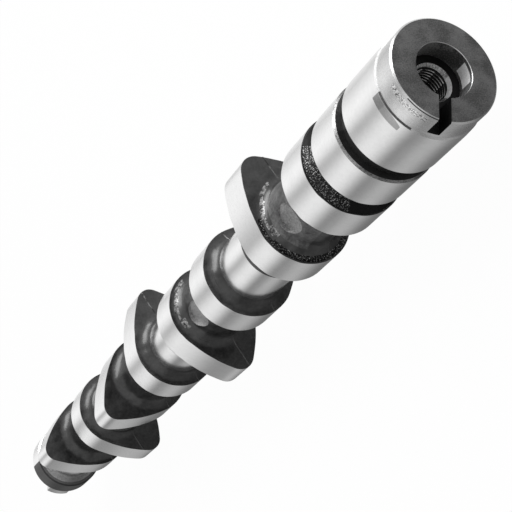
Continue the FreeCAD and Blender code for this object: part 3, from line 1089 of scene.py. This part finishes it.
# Grain of cast iron, sand and tool marks is 0.02 to 0.3 mm and too fine to show, so every grain,
# cloud and line is drawn about 2 to 5 times coarser than the real one
FINISHES: dict[Band, IronFinish] = {
    # Painted deep shade in the drilled holes, on the counterbore's floor, in the slot, at the
    # thread's roots, on the relief steps and on two arcs of the cast groove: nearly black, with
    # hardly a gleam
    Band.DRILLED: IronFinish("iron_deep_shade_painted", "#0C0C0C", "#1A1A1A", 0.3, 0.5, specular=0.2,
                             grain_bump=0.01),
    # Tapped crests with a painted highlight: bright lines in the dark hole
    Band.CREST: IronFinish("iron_thread_crest_highlight_painted", "#A8A8A8", "#D8D8D8", 0.5, 0.3, grain_bump=0.01),
    # Centre-drilled cone: torn, so that it sparkles in specks
    Band.CENTRE: IronFinish("iron_centre_drilled", "#9C9C9C", "#F0F0F0", 0.8, 0.4,
                            grain_bump=0.06, contrast=0.12),
    # Counterbored wall: half-matt, with the cutter's rings across it
    Band.BORE_WALL: IronFinish("iron_counterbored", "#606060", "#A8A8A8", 0.8, 0.5,
                               grain_bump=0.03, line_pitch=0.25, line_bump=0.03, contrast=0.15),
    # End face, turned: an even dark grey, also laid on one arc of the shoulder as painted shade
    Band.END_FACE: IronFinish("iron_end_face_grey_and_shoulder_shade_painted", "#4C4C4C", "#727272", 0.4, 0.5,
                              specular=0.3, grain=0.45, grain_bump=0.08, cloud=6.0,
                              contrast=0.2),
    # Turned iron: bright, and softer in the mirror than the ground faces
    Band.TURNED: IronFinish("iron_turned", "#CCCCCC", "#EAEAEA", 1.0, 0.26, grain=0.4,
                            grain_bump=0.006, line_bump=0.002),
    # Turned iron with open pits: a bright skin peppered with dark specks
    Band.PITTED: IronFinish("iron_turned_and_pitted", "#686868", "#FFFFFF", 1.0, 0.3, grain=0.3,
                            grain_bump=0.05, cloud=0.55, contrast=0.14, balance=-0.05),
    # Chilled iron off the grinding wheel: a near mirror, drawn out round the shaft
    Band.GROUND: IronFinish("chilled_iron_ground", "#F0F0F0", "#F6F6F6", 1.0, 0.18,
                            roughness_swing=0.03, grain=1.5, grain_bump=0.001, line_pitch=0.22,
                            line_bump=0.001),
    # Groove turned and left: a mid grey with a weak gleam on its lit side
    Band.GROOVE: IronFinish("iron_groove_turned", "#565656", "#666666", 0.15, 0.4, specular=0.3,
                            line_pitch=0.4, line_bump=0.004),
    # Turned chamfer: a narrow line that glints in specks
    Band.CHAMFER: IronFinish("iron_chamfer_turned", "#585858", "#ACACAC", 1.0, 0.35, grain=0.4,
                             grain_bump=0.02, line_bump=0.01, contrast=0.18),
    # Sand-cast skin under its oxide: near black, with soft highlights on its rounds; also painted
    # shade on one arc of the nose's edge
    Band.CAST: IronFinish("iron_as_cast", "#181818", "#363636", 0.0, 0.32, specular=0.8,
                          grain=1.2, grain_bump=0.05, cloud=7.0),
    # Parting line, dressed by hand: a thin broken line, a little lighter than the skin
    Band.PARTING: IronFinish("iron_cast_parting_line", "#242424", "#7C7C7C", 0.2, 0.4,
                             grain=1.5, contrast=0.12),
    # Cast skin with burnt-on sand, lighter as a painted highlight along the round: grains that
    # sparkle on a dark ground
    Band.SANDY: IronFinish("iron_as_cast_burnt_sand_highlight_painted", "#303030", "#B4B4B4", 0.5, 0.4,
                           grain=0.4, grain_bump=0.05, cloud=1.2, contrast=0.16, balance=0.04),
    # Rough cast skin: black, flecked where its grains were broken open
    Band.ROUGH_CAST: IronFinish("iron_as_cast_rough", "#0C0C0C", "#C0C0C0", 0.6, 0.4,
                                grain=0.3, grain_bump=0.06, cloud=0.5, contrast=0.1,
                                balance=0.17),
    # Spot-faced flat: a satin grey disc against the cast skin
    Band.MILLED: IronFinish("iron_spot_faced", "#848484", "#BCBCBC", 0.6, 0.4, grain=0.7,
                            grain_bump=0.01, line_bump=0.004, contrast=0.2),
    # Turned iron that the wheel ran out over, painted darker than the ground land as painted shade
    Band.RUN_OUT: IronFinish("iron_run_out_shade_painted", "#949494", "#ACACAC", 1.0, 0.3,
                             grain_bump=0.002),
    # The same in a paler painted half shade, to run into the land
    Band.RUN_OUT_PALE: IronFinish("iron_run_out_half_shade_painted", "#A8A8A8", "#BCBCBC", 1.0, 0.3,
                                  grain_bump=0.002),
    # Cast skin brushed bright: a soft mid grey
    Band.WORN_CAST: IronFinish("iron_as_cast_brushed", "#4C4C4C", "#7C7C7C", 0.3, 0.4,
                               grain=0.9, grain_bump=0.04, cloud=5.0),
    # Painted highlight: a pale patch on the counterbore's wall, the centre's cone and the shoulder
    Band.BORE_LIT: IronFinish("iron_highlight_patch_painted", "#DCDCDC", "#FFFFFF", 0.0, 0.4,
                              grain=0.4, grain_bump=0.02, contrast=0.16),
    # Painted shade in the groove and on one side of the rear flange's rim: a dark grey
    Band.GROOVE_DARK: IronFinish("iron_grey_shade_painted", "#242424", "#343434", 0.1, 0.4,
                                 specular=0.4, line_pitch=0.4, line_bump=0.004),
    # Painted half shade between the two, so that the painted shade has no hard end
    Band.GROOVE_HALF: IronFinish("iron_groove_half_shade_painted", "#3C3C3C", "#4C4C4C", 0.12, 0.4,
                                 specular=0.35, line_pitch=0.4, line_bump=0.004),
}


@dataclass(frozen=True)
class Camshaft:
    """The whole shaft, from its sub-assemblies."""

    columns: Columns = COLUMNS
    hole: NoseHole = NoseHole()
    front: FrontEnd = FrontEnd()
    lobes: Lobes = Lobes()
    stem: Stem = Stem()
    rear: RearEnd = RearEnd()
    relief: CastRelief = RELIEF
    sharp_angle: float = 32.0

    def lay(self) -> Skin:
        """Lay the rings of the whole shaft.

        Returns:
            The skin, ring by ring.
        """
        skin = Skin(self.columns)
        self.hole.lay(skin)
        self.front.lay(skin)
        starts = LOBE.starts
        for number, start in enumerate(starts):
            self.lobes.lay(skin, number)
            end = start + LOBE.width
            if number == len(starts) - 1:
                self.rear.lay(skin, end)
            elif number % 2 == 0:
                self.stem.waist(skin, end, starts[number + 1], number // 2 < PAD.waists,
                                number == 0)
            else:
                self.stem.bearing(skin, end, starts[number + 1])
        return skin

    def points(self, skin: Skin) -> np.ndarray:
        """Work out every point, with the cast relief pushed along the profile's normal.

        The profile's normal is its direction of travel turned a quarter turn outwards:
        (nx, nr) = (-dr, dx) over its length.

        Args:
            skin: The skin of the whole shaft.

        Returns:
            Points in mm by ring, column, and axis.
        """
        x, r, angle = np.array(skin.x), np.array(skin.r), np.array(skin.angle)
        place = np.stack([x, r * np.cos(angle), r * np.sin(angle)], axis=-1)
        height = self.relief.height(place) + self.relief.ridge * self.columns.ridge()
        dx, dr = np.gradient(x, axis=0), np.gradient(r, axis=0)
        length = np.maximum(np.hypot(dx, dr), CLOSE)
        share, slide = np.array(skin.share), np.array(skin.slide)
        x = x + height * (slide - share * dr / length)
        r = r + height * share * dx / length
        return np.stack([x, r * np.cos(angle), r * np.sin(angle)], axis=-1)

    def faces(self, rows: int, columns: int, first: int) -> np.ndarray:
        """Number the corners of the faces of a block of closed rings.

        Args:
            rows: Rings in the block.
            columns: Points a ring.
            first: Number of the block's first point.

        Returns:
            Four corners by ring, place in the ring, and corner.
        """
        ids = first + np.arange(rows * columns).reshape(rows, columns)
        after = np.roll(ids, -1, axis=1)
        return np.stack([ids[:-1], after[:-1], after[1:], ids[1:]], axis=-1)

    def build(self) -> None:
        """Build the shaft's mesh, dress it and put it in the scene."""
        skin = self.lay()
        points = self.points(skin)
        rows, columns = points.shape[:2]
        kept = np.ones((rows - 1, columns), bool)
        blocks = [points.reshape(-1, 3)]
        patch_faces, patch_bands = [], []
        for number, (top, bottom, left, right, middle) in enumerate(skin.windows):
            kept[top:bottom, left:right] = False
            patch = PadPatch(middle)
            start = LOBE.starts[2 * number] + LOBE.width
            window = points[top:bottom + 1, left:right + 1]
            fill = patch.points(window, start, LOBE.starts[2 * number + 1])
            patch_faces.append(self.faces(*fill.shape[:2], sum(map(len, blocks))).reshape(-1, 4))
            around = int(skin.band[top + 2][left])
            patch_bands.append(patch.bands(fill.shape[1], around))
            blocks.append(fill.reshape(-1, 3))
        band = np.array(skin.band)[1:]
        ridge = (self.columns.ridge() > 0.5) & (self.columns.local() < 180.0)
        beside = ridge | np.roll(ridge, -1)
        band = np.where(beside & (band == Band.CAST.value), Band.PARTING.value, band)
        faces = np.concatenate([self.faces(rows, columns, 0)[kept], *patch_faces])
        bands = np.concatenate([band[kept], *patch_bands])
        mesh = bpy.data.meshes.new("camshaft_body")
        mesh.from_pydata((np.concatenate(blocks) * MM).tolist(), [], faces.tolist())
        for band in Band:
            mesh.materials.append(FINISHES[band].build())
        mesh.polygons.foreach_set("material_index", bands.astype(np.int32))
        weld = bmesh.new()
        weld.from_mesh(mesh)
        bmesh.ops.remove_doubles(weld, verts=weld.verts, dist=WELD)
        bmesh.ops.dissolve_degenerate(weld, edges=weld.edges, dist=NO_SIZE)
        weld.to_mesh(mesh)
        open_edges = sum(not edge.is_manifold for edge in weld.edges)
        weld.free()
        mesh.polygons.foreach_set("use_smooth", np.ones(len(mesh.polygons), bool))
        mesh.set_sharp_from_angle(angle=math.radians(self.sharp_angle))
        body = put("camshaft_body", mesh)
        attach(body, BODY)
        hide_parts(NODE)
        mesh.calc_loop_triangles()
        LOG.info("camshaft_body: %d rings, %d columns, %d faces, %d triangles, %d open edges",
                 rows, columns, len(mesh.polygons), len(mesh.loop_triangles), open_edges)


@dataclass(frozen=True)
class Studio:
    """The pale floor, the soft lamp, the white surroundings and the camera.

    The lamp's lengths are in metres and the camera's in mm. Its place, lens and roll were solved
    from the photograph with the shaft's sizes.
    """

    lamp_place: tuple[float, ...] = (-0.15, -0.84, 0.75)
    lamp_aim: tuple[float, ...] = (0.2, 0.0, 0.0)
    lamp_side: float = 0.9
    lamp_watts: float = 12.0
    eye: tuple[float, ...] = (-283.792, 164.065, 215.268)
    eye_aim: tuple[float, ...] = (132.830, 1.566, 5.136)
    eye_roll: float = 93.56
    eye_lens: float = 94.79
    floor_size: float = 6.0
    floor_shade: str = "#F4F4F4"
    seen_floor: float = 0.97
    lit_sky: float = 0.45
    sky_bands: tuple[tuple[float, float], ...] = (
        (0.0, 0.30), (8.0, 0.22), (18.0, 0.38), (28.0, 0.62), (38.0, 0.80), (48.0, 0.86),
        (58.0, 0.87), (68.0, 0.80), (78.0, 0.66), (88.0, 0.50), (97.0, 0.46), (107.0, 0.74),
        (118.0, 0.92), (128.0, 1.00), (138.0, 1.00), (148.0, 0.94), (158.0, 0.85), (168.0, 0.78),
        (180.0, 0.70))
    floor_light_and_shade_painted: tuple[tuple[float, float], ...] = (
        (-320.0, 0.72), (-140.0, 0.76), (-89.0, 0.86), (-64.0, 0.90), (-22.0, 0.55), (-8.0, 0.36),
        (2.0, 0.27), (10.0, 0.18), (18.0, 0.16), (25.0, 0.21), (31.0, 0.27), (39.0, 0.36),
        (49.0, 0.43), (65.0, 0.45), (94.0, 0.43), (171.0, 0.34), (300.0, 0.30))

    def ramp(self, tree: bpy.types.NodeTree, value: bpy.types.NodeSocket, scale: float,
             bands: tuple[tuple[float, float], ...]) -> bpy.types.NodeSocket:
        """Return a soft run of greys over a value.

        Args:
            tree: The node tree.
            value: The value that the run follows.
            scale: What one unit of the bands' places is in the value's own unit.
            bands: Places along the run and the grey at each.

        Returns:
            The colour's socket.
        """
        low, high = bands[0][0], bands[-1][0]
        part = add_node(tree, "MapRange", {"Value": value, "From Min": low * scale,
                                           "From Max": high * scale})
        ramp = add_node(tree, "ValToRGB", {"Fac": part.outputs[0]})
        ramp.color_ramp.interpolation = "B_SPLINE"
        stops = ramp.color_ramp.elements
        for end, (_, level) in ((0, bands[0]), (1, bands[-1])):
            stops[end].color = (level, level, level, 1.0)
        for place, level in bands[1:-1]:
            stops.new((place - low) / (high - low)).color = (level, level, level, 1.0)
        return ramp.outputs["Color"]

    def floor(self) -> None:
        """Lay the floor under the lowest point of the shaft.

        It is a card that the lamp lights. Metal mirrors it as a glow of painted light and shade
        across
        the shaft: bright on the lamp's side, a painted shadow under the shaft and grey beyond it.
        """
        low = CAD_BOX[0].z
        half = self.floor_size / 2.0
        mesh = bpy.data.meshes.new("studio_floor")
        mesh.from_pydata([(-half, -half, low), (half, -half, low), (half, half, low),
                          (-half, half, low)], [], [(0, 1, 2, 3)])
        floor = put("studio_floor", mesh)
        material = bpy.data.materials.new("floor_white_card_light_and_shade_painted")
        tree = clear_tree(material)
        card = add_node(tree, "BsdfDiffuse", {"Color": linear(self.floor_shade)})
        across = add_node(tree, "SeparateXYZ", {
            "Vector": add_node(tree, "TexCoord").outputs["Object"]})
        # Painted light and shade that metal mirrors, by the place across the shaft
        shaded = self.ramp(tree, across.outputs["Y"], MM, self.floor_light_and_shade_painted)
        path = add_node(tree, "LightPath")
        colour = add_node(tree, "MixRGB", {"Fac": path.outputs["Is Camera Ray"],
                                           "Color1": shaded, "Color2": linear(WHITE)})
        glow = add_node(tree, "Emission", {"Color": colour.outputs["Color"], "Strength": 1.0})
        seen = add_node(tree, "Math", {0: path.outputs["Is Camera Ray"], 1: self.seen_floor},
                        operation="MULTIPLY")
        share = add_node(tree, "Math", {0: seen.outputs[0], 1: path.outputs["Is Glossy Ray"]},
                         operation="MAXIMUM")
        mix = add_node(tree, "MixShader", {0: share.outputs[0], 1: card.outputs[0],
                                           2: glow.outputs[0]})
        add_node(tree, "OutputMaterial", {"Surface": mix.outputs[0]})
        mesh.materials.append(material)

    def world(self) -> None:
        """Surround the shaft with white where it is seen, and soft bands where it is mirrored.

        The bands are long soft boxes beside the shaft: their level is a function of the angle
        about the X axis, atan2(z, y).
        """
        world = bpy.data.worlds.new("studio_white")
        bpy.context.scene.world = world
        tree = clear_tree(world)
        way = add_node(tree, "SeparateXYZ", {
            "Vector": add_node(tree, "TexCoord").outputs["Generated"]})
        angle = add_node(tree, "Math", {0: way.outputs["Z"], 1: way.outputs["Y"]},
                         operation="ARCTAN2")
        path = add_node(tree, "LightPath")
        mirrored = add_node(tree, "MixRGB", {
            "Fac": path.outputs["Is Glossy Ray"],
            "Color1": (self.lit_sky, self.lit_sky, self.lit_sky, 1.0),
            "Color2": self.ramp(tree, angle.outputs[0], math.radians(1.0), self.sky_bands)})
        clear = add_node(tree, "Math", {0: path.outputs["Is Camera Ray"],
                                        1: path.outputs["Is Transmission Ray"]},
                         operation="MAXIMUM")
        colour = add_node(tree, "MixRGB", {"Fac": clear.outputs[0],
                                           "Color1": mirrored.outputs["Color"],
                                           "Color2": linear(WHITE)})
        sky = add_node(tree, "Background", {"Color": colour.outputs["Color"], "Strength": 1.0})
        add_node(tree, "OutputWorld", {"Surface": sky.outputs[0]})

    def lamp(self) -> None:
        """Hang the square soft lamp."""
        light = bpy.data.lights.new("lamp_soft_box", "AREA")
        light.size = self.lamp_side
        light.energy = self.lamp_watts
        lamp = put("lamp_soft_box", light)
        lamp.location = self.lamp_place
        way = Vector(self.lamp_aim) - Vector(self.lamp_place)
        lamp.rotation_euler = way.to_track_quat("-Z", "Y").to_euler()

    def camera(self) -> None:
        """Set the camera up as the photograph was taken: from the front, high, on its side."""
        place, aim = Vector(self.eye) * MM, Vector(self.eye_aim) * MM
        data = bpy.data.cameras.new("photograph_camera")
        data.lens = self.eye_lens
        data.sensor_width = 36.0
        camera = put("photograph_camera", data)
        camera.location = place
        camera.rotation_mode = "QUATERNION"
        roll = Quaternion((0.0, 0.0, 1.0), -math.radians(self.eye_roll))
        camera.rotation_quaternion = (aim - place).to_track_quat("-Z", "Y") @ roll
        bpy.context.scene.camera = camera

    def build(self) -> None:
        """Build the whole studio."""
        bpy.context.scene.view_settings.view_transform = "Standard"
        self.floor()
        self.world()
        self.lamp()
        self.camera()


def main() -> None:
    """Build the studio and the shaft."""
    logging.basicConfig(level=logging.INFO)
    Studio().build()
    LOG.info("studio: floor, world, lamp and camera")
    Camshaft().build()


if __name__ == "__main__":
    main()
